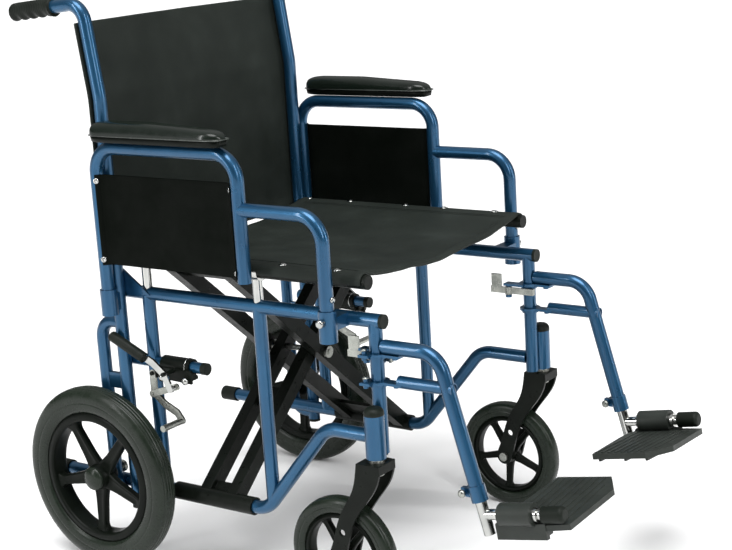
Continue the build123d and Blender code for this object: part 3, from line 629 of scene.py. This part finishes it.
# ---------------------------------------------------------------- arm pads
def pad_ring(x, half_width, low, high, crown, middle_y, points=28):
    """Closed section of a pad: flat underside, rounded sides and a crowned top."""
    ring = []
    for i in range(points):
        turn = math.tau * i / points
        c, s = math.cos(turn), math.sin(turn)
        y = half_width * math.copysign(abs(c) ** 0.55, c)
        if s >= 0:
            z = low + (high - low) * (s ** 0.62) * (1 - crown * (c * c))
        else:
            z = low - 0.0022 * abs(s) ** 0.5
        ring.append(Vector((x, middle_y + y, z)))
    return ring


def arm_pad(side):
    """Skinned foam pad on a moulded tray, tapering to a rounded nose."""
    low, high = span(f"arm_pad_{side}")
    body = f"armrest_{side}"
    mid_y = (low.y + high.y) / 2
    length = high.x - low.x
    width = (high.y - low.y) / 2
    lip = low.z + 0.0125
    steps = 40
    rings = []
    for i in range(steps + 1):
        share = i / steps
        x = low.x + length * share
        nose = min((1 - share) * length / 0.034, 1.0)
        tail = min(share * length / 0.020, 1.0)
        round_off = math.sqrt(max(1 - (1 - nose) ** 2, 0.0)) * math.sqrt(max(1 - (1 - tail) ** 2, 0.0))
        taper = 1.0 - 0.10 * share
        top = high.z - 0.0085 * max(share - 0.45, 0.0) / 0.55 - 0.003 * max(0.12 - share, 0.0) / 0.12
        half_width = width * taper * max(round_off, 0.12)
        rise = lip + (top - lip) * max(round_off, 0.08) ** 0.8
        rings.append(pad_ring(x, half_width, lip, rise, 0.18, mid_y))
    pad = subdivide(loft(f"arm_pad_skin_{side}", rings))
    finish_as(pad, "arm_pad", body)
    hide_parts(f"arm_pad_{side}")

    # moulded tray under the pad, with its parting rim
    tray_rings = []
    outline = []
    corner = 0.016
    half_x, half_y = length / 2 - 0.004, width - 0.0045
    for i in range(64):
        turn = math.tau * i / 64
        c, s = math.cos(turn), math.sin(turn)
        outline.append((math.copysign(abs(c) ** 0.25, c) * half_x, math.copysign(abs(s) ** 0.45, s) * half_y))
    centre_x = (low.x + high.x) / 2
    def level(rise, grow):
        fx, fy = 1 + grow / half_x, 1 + grow / half_y
        return [Vector((centre_x + x * fx, mid_y + y * fy, low.z + rise)) for x, y in outline]

    for rise, grow in ((0.0, -corner / 3), (0.0018, 0.0), (0.0108, 0.0015)):
        tray_rings.append(level(rise, grow))
    tray = loft(f"arm_pad_tray_{side}", tray_rings)
    finish_as(tray, "black_plastic", body)
    # the parting rim takes a paler colour than the tray: a painted highlight for the light line along the lip
    lip_levels = ((0.0108, 0.0020), (0.0112, 0.0040), (0.0120, 0.0043), (0.0133, 0.0022), (0.0136, -0.0010))
    rim = loft(f"arm_pad_lip_{side}", [level(rise, grow) for rise, grow in lip_levels])
    finish_as(rim, "black_plastic", body, look="lip_highlight")


# ---------------------------------------------------------------- skirt guards
def skirt_guard(side, sign):
    """Sheet guard whose ends curl round the outer face of the armrest's uprights."""
    low, high = span(f"skirt_guard_{side}")
    mid_y = (low.y + high.y) / 2
    rear_x = low.x - 0.0002 - TUBE_R
    front_x = high.x + 0.0002 + TUBE_R
    wrap_r = TUBE_R + 0.0013
    curls = 7
    rear_wrap, front_wrap, root = 64.0, 52.0, 22.0
    line = []
    for i in range(curls):
        turn = math.radians(rear_wrap - (rear_wrap - root) * i / (curls - 1))
        line.append((rear_x + wrap_r * math.cos(turn), mid_y + sign * wrap_r * math.sin(turn)))
    flat = 22
    start_x = rear_x + wrap_r + 0.006
    end_x = front_x - wrap_r - 0.006
    for i in range(flat + 1):
        line.append((start_x + (end_x - start_x) * i / flat, mid_y))
    for i in range(curls):
        turn = math.radians(root + (front_wrap - root) * i / (curls - 1))
        line.append((front_x - wrap_r * math.cos(turn), mid_y + sign * wrap_r * math.sin(turn)))
    steps = 24
    mid = []
    for x, y in line:
        row = []
        for j in range(steps + 1):
            z = low.z + (high.z - low.z) * j / steps
            across = (x - start_x) / (end_x - start_x)
            belly = 0.0
            if 0 < across < 1:
                ripple = noise.noise(Vector((x * 8, z * 8, 3.0 * sign)))
                belly = 0.0012 * math.sin(math.pi * across) * ripple
            row.append(Vector((x, y + belly, z)))
        mid.append(row)
    guard = thick_sheet(f"skirt_panel_{side}", mid, lambda i, j: 0.0009)
    subdivide(guard)
    body = f"armrest_{side}"
    finish_as(guard, "black_plastic", body, look="guard_sheet")
    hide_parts(f"skirt_guard_{side}")
    heads = []
    for x, wrap, way in ((rear_x, rear_wrap, 1.0), (front_x, front_wrap, -1.0)):
        turn = math.radians(wrap - 9.0)
        out = Vector((way * math.cos(turn), sign * math.sin(turn), 0))
        for z in (low.z + 0.010, high.z - 0.010):
            at = Vector((x, mid_y, z)) + out * (wrap_r + 0.0008)
            heads.append(pan_screw("head", at, out, 0.0045))
    finish_as(join(f"skirt_screws_{side}", heads), "chrome", body)


# ---------------------------------------------------------------- grips
def push_grip(side):
    """Moulded handle grip: finger scallops below, ribs on top, a rounded end."""
    low, high = span(f"push_grip_{side}")
    mid_y = (low.y + high.y) / 2
    slope = 14.0 / 153.0
    along = Vector((-1, 0, -slope)).normalized()
    up = Vector((-slope, 0, 1)).normalized()
    outer, length = 0.0155, 0.095
    start = Vector((high.x - outer * slope * 0.5, mid_y, high.z - outer * 1.004))
    rings = []
    steps = 96
    for i in range(steps + 1):
        distance = length * i / steps
        end = min((length - distance) / 0.006, 1.0)
        flange = math.exp(-(distance / 0.003) ** 2) * 0.0012
        closing = math.sqrt(max(1 - (1 - end) ** 2, 0.0))
        ring = []
        for k in range(36):
            turn = math.tau * k / 36
            below = max(-math.sin(turn), 0.0)
            scallop = 0.5 - 0.5 * math.cos(math.tau * (distance - 0.008) / 0.020)
            finger = scallop if 0.008 < distance < 0.088 else 0.0
            ribbed = 0.01 < distance < 0.085
            rib = 0.0004 * math.sin(distance * math.tau / 0.004) * (1 - below) if ribbed else 0.0
            radius = (outer - 0.0008 + flange - 0.0036 * finger * below ** 0.7 + rib) * max(closing, 0.05)
            side_way = Vector((0, 1, 0)) * math.cos(turn) * radius
            ring.append(start + along * distance + side_way + up * math.sin(turn) * radius)
        rings.append(ring)
    grip = loft(f"handle_grip_{side}", rings)
    finish_as(grip, "black_rubber", f"frame_{side}")
    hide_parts(f"push_grip_{side}")


# ---------------------------------------------------------------- wheels
def eased(points, between=6):
    """Smooth curve through points."""
    curve = []
    for i in range(len(points) - 1):
        p0 = np.array(points[max(i - 1, 0)])
        p1, p2 = np.array(points[i]), np.array(points[i + 1])
        p3 = np.array(points[min(i + 2, len(points) - 1)])
        for k in range(between):
            t = k / between
            bend = 2 * p1 + (p2 - p0) * t + (2 * p0 - 5 * p1 + 4 * p2 - p3) * t * t
            curve.append(0.5 * (bend + (3 * p1 - p0 - 3 * p2 + p3) * t ** 3))
    curve.append(np.array(points[-1]))
    return [(float(a), float(b)) for a, b in curve]


def tyre_skin(side, wheel, grooves):
    """Solid tyre turned from a rounded profile, with fine grooves round its tread."""
    node = f"{wheel}_tyre_{side}"
    low, high = span(node)
    bead = span(f"{wheel}_rim_{side}")
    bead_r = (bead[1].z - bead[0].z) / 2
    centre = (low + high) / 2
    radius = (high.z - low.z) / 2
    half = (high.y - low.y) / 2
    depth = radius - bead_r
    shape = ((0.73, 0.0), (0.90, 0.09), (0.985, 0.26), (1.0, 0.45), (0.965, 0.66), (0.84, 0.84),
             (0.62, 0.945), (0.32, 0.99), (0.0, 1.0))
    side_curve = eased([(half * a, bead_r + depth * b) for a, b in shape], 8)
    curve = [(-y, r) for y, r in side_curve] + [(y, r) for y, r in reversed(side_curve[:-1])]
    profile = []
    for y, r in curve:
        dip = sum(0.0013 * math.exp(-((y / half - g) * half / 0.0008) ** 2) for g in grooves)
        line = 0.0007 * math.exp(-((r - bead_r - depth * 0.42) / 0.0009) ** 2)
        across = y - math.copysign(line, y) if abs(y) > half * 0.9 else y
        profile.append((across, r - dip * (r > radius - depth * 0.2)))
    tyre = lathe(f"{wheel}_tyre_skin_{side}", centre, (0, 1, 0), profile, 128, loop=True)
    finish_as(tyre, "tyre", f"{wheel}_wheel_{side}")
    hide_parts(node)


def rim_skin(side, wheel, ring_r, hub_r, spoke):
    """Five-spoke wheel: a deep ring, channelled spokes that flare at both ends, and a stepped hub."""
    node = f"{wheel}_rim_{side}"
    low, high = span(node)
    tyre = span(f"{wheel}_tyre_{side}")
    mid_y = (tyre[0].y + tyre[1].y) / 2
    width = tyre[1].y - tyre[0].y
    centre = Vector(((low.x + high.x) / 2, mid_y, (low.z + high.z) / 2))
    bead_r = (high.z - low.z) / 2
    seat, lip = width * 0.36, width * 0.44
    edge = ((seat, bead_r), (seat + 0.0012, bead_r - 0.004), (lip, ring_r + 0.004),
            (lip - 0.0008, ring_r + 0.0012), (lip - 0.003, ring_r), (lip * 0.5, ring_r - 0.0005))
    profile = [(-y, r) for y, r in edge] + [(y, r) for y, r in reversed(edge)]
    parts = [lathe("ring", centre, (0, 1, 0), profile, 160, loop=True)]
    near, far = low.y - mid_y, high.y - mid_y
    hub_profile = [
        (near, hub_r * 0.6), (near, hub_r * 0.84), (near * 0.9, hub_r * 0.9), (near * 0.45, hub_r),
        (far * 0.45, hub_r), (far * 0.9, hub_r * 0.9), (far, hub_r * 0.84), (far, hub_r * 0.6),
    ]
    parts.append(lathe("hub", centre, (0, 1, 0), hub_profile, 64))
    first_turn = 40.0
    for i in range(5):
        turn = math.radians(first_turn + 72 * i)
        out = Vector((math.sin(turn), 0, math.cos(turn)))
        flank = Vector((math.cos(turn), 0, -math.sin(turn)))
        rings = []
        steps = 24
        for j in range(steps + 1):
            share = j / steps
            r = hub_r * 0.6 + (ring_r + 0.0025 - hub_r * 0.6) * share
            flare = spoke["flare"] * (max(share - 0.80, 0.0) / 0.20) ** 2
            root = spoke["root"] * (max(0.35 - share, 0.0) / 0.35) ** 1.5
            wide = spoke["hub"] + (spoke["rim"] - spoke["hub"]) * share + flare + root
            thick = spoke["thick"] * (1 + 0.5 * (max(share - 0.85, 0.0) / 0.15) ** 2)
            ring = []
            for k in range(24):
                angle = math.tau * k / 24
                c, s = math.cos(angle), math.sin(angle)
                across = math.copysign(abs(c) ** 0.45, c) * wide
                deep = math.copysign(abs(s) ** 0.45, s) * thick
                inset = max(0.0, 1 - (across / (wide * 0.66)) ** 2) if 0.12 < share < 0.86 else 0.0
                deep -= math.copysign(0.35 * thick * inset, s) if abs(s) > 0.3 else 0.0
                ring.append(centre + out * r + flank * across + Vector((0, deep, 0)))
            rings.append(ring)
        parts.append(loft("spoke", rings))
    finish_as(join(f"{wheel}_rim_skin_{side}", parts), "black_plastic", f"{wheel}_wheel_{side}")
    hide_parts(node)


def hub_cap(side, sign):
    """Domed cap pressed on the outer end of the rear hub."""
    low, high = span(f"rear_rim_{side}")
    centre = (low + high) / 2
    outer_y = high.y if sign > 0 else low.y
    at = (centre.x, outer_y - sign * 0.006, centre.z)
    cap = lathe(f"rear_hub_cap_{side}", at, (0, sign, 0), [
        (0.0, 0.0196), (0.0035, 0.0206), (0.0060, 0.0203), (0.0085, 0.0185), (0.0108, 0.0148),
        (0.0124, 0.0098), (0.0131, 0.0045),
    ], 48)
    finish_as(subdivide(cap), "black_plastic", f"rear_wheel_{side}", look="tyre")


def wheels():
    rear = dict(hub=0.0125, rim=0.0072, thick=0.0072, flare=0.009, root=0.004)
    caster = dict(hub=0.0066, rim=0.0048, thick=0.0054, flare=0.006, root=0.003)
    for side, sign in SIDES:
        tyre_skin(side, "rear", (-0.60, -0.30, 0.0, 0.30, 0.60))
        rim_skin(side, "rear", 0.098, 0.022, rear)
        hub_cap(side, sign)
        tyre_skin(side, "caster", ())
        rim_skin(side, "caster", 0.0615, 0.015, caster)


# ---------------------------------------------------------------- silver nuts and bolts
def dome_nut(name, at, outward, radius, height):
    rings = [(0.0, radius), (height * 0.45, radius), (height * 0.75, radius * 0.8), (height, radius * 0.35)]
    return lathe(name, at, outward, rings, 24)


CLAMP_X, CLAMP_Z = 0.3354, 0.2246
HOOK_NUT_X, HOOK_NUT_ZS = 0.1804, (0.4240, 0.3810)
ARM_SCREW_Z = 0.503
BRACKET_BOLT_XS, BRACKET_BOLT_Y, BRACKET_BOLT_Z = (-0.2246, -0.1746), 0.249, 0.332
BRAKE_TUBE_Z = 0.350
CLAMP_RIM = [(0.0, 0.0137), (0.0002, 0.0142), (0.0018, 0.0142), (0.0020, 0.0137)]


def bright_fasteners():
    """Silver nuts of the hook plates and footrest clamps, armrest screws and brake bracket bolts."""
    for side, sign in SIDES:
        nuts = []
        for way in (1, -1):
            at = (CLAMP_X, sign * (RAIL_Y + way * 0.0105), CLAMP_Z)
            nuts.append(dome_nut("nut", at, (0, way * sign, 0), 0.0062, 0.0055))
        for z in HOOK_NUT_ZS:
            at = (HOOK_NUT_X, sign * (RAIL_Y + 0.017), z - 0.0005)
            nuts.append(dome_nut("nut", at, (0, 0, 1), 0.0050, 0.0035))
        finish_as(join(f"hanger_nuts_{side}", nuts), "zinc", f"hanger_{side}")
        tube_front = span(f"armrest_frame_{side}")[1].x
        at = (tube_front - 0.0002, middle(f"armrest_frame_{side}").y, ARM_SCREW_Z)
        screw = dome_nut(f"armrest_screw_{side}", at, (1, 0, 0), 0.0048, 0.0036)
        finish_as(screw, "chrome", f"armrest_{side}")
        bolts = []
        for x in BRACKET_BOLT_XS:
            at = (x, sign * BRACKET_BOLT_Y, BRACKET_BOLT_Z)
            bolts.append(dome_nut("bolt", at, (0, sign, 0), 0.0062, 0.0050))
        bracket_front = span(f"brake_bracket_{side}")[1].x
        at = (bracket_front - 0.0165, sign * RAIL_Y, BRAKE_TUBE_Z)
        bolts.append(lathe("clamp_rim", at, (1, 0, 0), CLAMP_RIM, 40, loop=True))
        finish_as(join(f"brake_bolts_{side}", bolts), "chrome", f"frame_{side}")


# ---------------------------------------------------------------- stage, lights and camera
def stage():
    size = 60.0
    corners = [(-size, -size, FLOOR_Z), (size, -size, FLOOR_Z), (size, size, FLOOR_Z), (-size, size, FLOOR_Z)]
    floor = add_object("floor", corners, [[0, 1, 2, 3]], smooth=False)
    material, tree, shader, coords = new_material("pale_floor")
    tint = ramp(tree, add_noise(tree, coords, 0.8), [(0.3, grey(0.90)), (0.7, grey(0.93))])
    tree.links.new(tint, shader.inputs["Base Color"])
    settings(shader, Roughness=0.9, Specular_IOR_Level=0.1)
    floor.data.materials.append(material)


def aim(piece, target):
    direction = Vector(target) - piece.location
    piece.rotation_euler = direction.to_track_quat("-Z", "Y").to_euler()


def add_area(name, at, target, size, power, colour=(1, 1, 1)):
    light = bpy.data.lights.new(name, "AREA")
    light.shape = "RECTANGLE"
    light.size, light.size_y = size
    light.energy = power
    light.color = colour
    piece = bpy.data.objects.new(name, light)
    piece.location = at
    bpy.context.scene.collection.objects.link(piece)
    aim(piece, target)


def lights():
    world = bpy.data.worlds.new("studio")
    world.use_nodes = True
    tree = world.node_tree
    background = tree.nodes["Background"]
    background.inputs["Strength"].default_value = 0.8
    coords = tree.nodes.new("ShaderNodeTexCoord")
    split = tree.nodes.new("ShaderNodeSeparateXYZ")
    tree.links.new(coords.outputs["Generated"], split.inputs["Vector"])
    height = ramp(tree, split.outputs["Z"], [(0.0, grey(0.10)), (0.30, grey(0.22)), (1.0, grey(1.0))])
    tree.links.new(height, background.inputs["Color"])
    bpy.context.scene.world = world
    sun = bpy.data.lights.new("sun", "SUN")
    sun.energy = 2.9
    sun.angle = math.radians(40)
    sun_piece = bpy.data.objects.new("sun", sun)
    sun_piece.location = (0.8, -1.5, 4.6)
    bpy.context.scene.collection.objects.link(sun_piece)
    aim(sun_piece, (0.2, 0, 0))
    add_area("key", (2.3, -1.2, 1.9), (0, 0, 0.5), (0.35, 1.8), 26)
    add_area("strip", (-1.3, -2.4, 1.5), (0, 0, 0.5), (0.22, 2.2), 26)
    add_area("front_strip", (2.7, 1.1, 1.5), (0, 0, 0.4), (0.22, 2.2), 26)


CAMERA_AT = (1.5193, -2.0811, 1.0744)
CAMERA_TURN = 35.846
CAMERA_DOWN = 13.296
CAMERA_ROLL = -3.519
CAMERA_LENS = 79.03


def camera():
    lens = bpy.data.cameras.new("camera")
    lens.sensor_width = 36.0
    lens.lens = CAMERA_LENS
    lens.clip_end = 300.0
    piece = bpy.data.objects.new("camera", lens)
    turn = Matrix.Rotation(math.radians(CAMERA_TURN), 4, "Z")
    tilt = Matrix.Rotation(math.radians(90 - CAMERA_DOWN), 4, "X")
    roll = Matrix.Rotation(math.radians(CAMERA_ROLL), 4, "Z")
    piece.matrix_world = Matrix.Translation(CAMERA_AT) @ turn @ tilt @ roll
    bpy.context.scene.collection.objects.link(piece)
    bpy.context.scene.camera = piece


# ---------------------------------------------------------------- the whole chair
camera()
stage()
lights()
dress_cad_nodes()
seat = seat_sling()
seat_stitching()
seat_screws()
back = back_sling()
back_screws()
for side, sign in SIDES:
    arm_pad(side)
    skirt_guard(side, sign)
    push_grip(side)
wheels()
bright_fasteners()

bpy.context.scene.view_settings.view_transform = "Standard"
